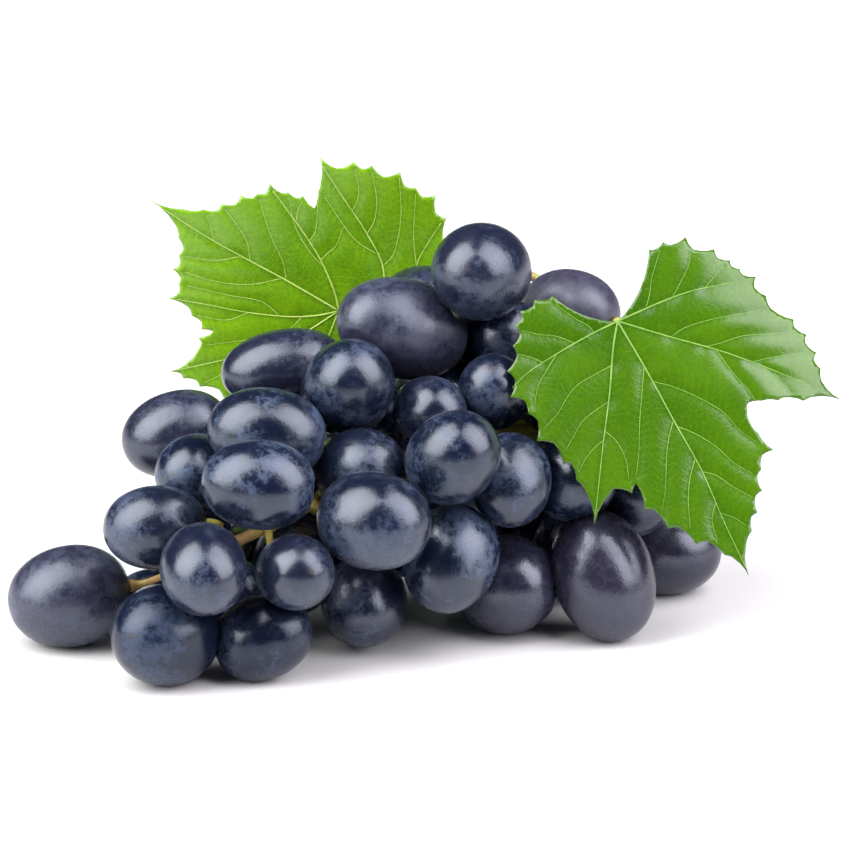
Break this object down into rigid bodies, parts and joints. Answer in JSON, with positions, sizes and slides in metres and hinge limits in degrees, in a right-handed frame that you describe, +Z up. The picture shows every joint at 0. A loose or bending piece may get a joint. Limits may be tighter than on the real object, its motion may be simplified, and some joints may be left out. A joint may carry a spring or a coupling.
{
  "type": "bunch of grapes",
  "caption": "Bunch of black table grapes lying on its side: oval berries with a waxy bloom, crowded round a thin stem, with toothed vine leaves on stalks at its wide end.",
  "frame": {"origin": "on the table, under the middle of the part's bounding box", "axes": "+X from the tip of the bunch to its wide end, where the stem is cut; +Y away from the side that is looked at; +Z up from the table"},
  "size_m": [0.1828, 0.1199, 0.09],
  "materials": {
    "berry_skin": "smooth dark blue-purple skin under a patchy, pale waxy bloom",
    "stem_wood": "green, half woody stalk, tan where it thickens",
    "leaf_right_blade": "thin, satin green blade with pale veins",
    "leaf_left_blade": "thin, satin light green blade with pale veins"
  },
  "bodies": {
    "root": {"berries": "berry_skin", "stem": "stem_wood", "leaf_right": "leaf_right_blade", "leaf_left": "leaf_left_blade"}
  },
  "joints": []
}
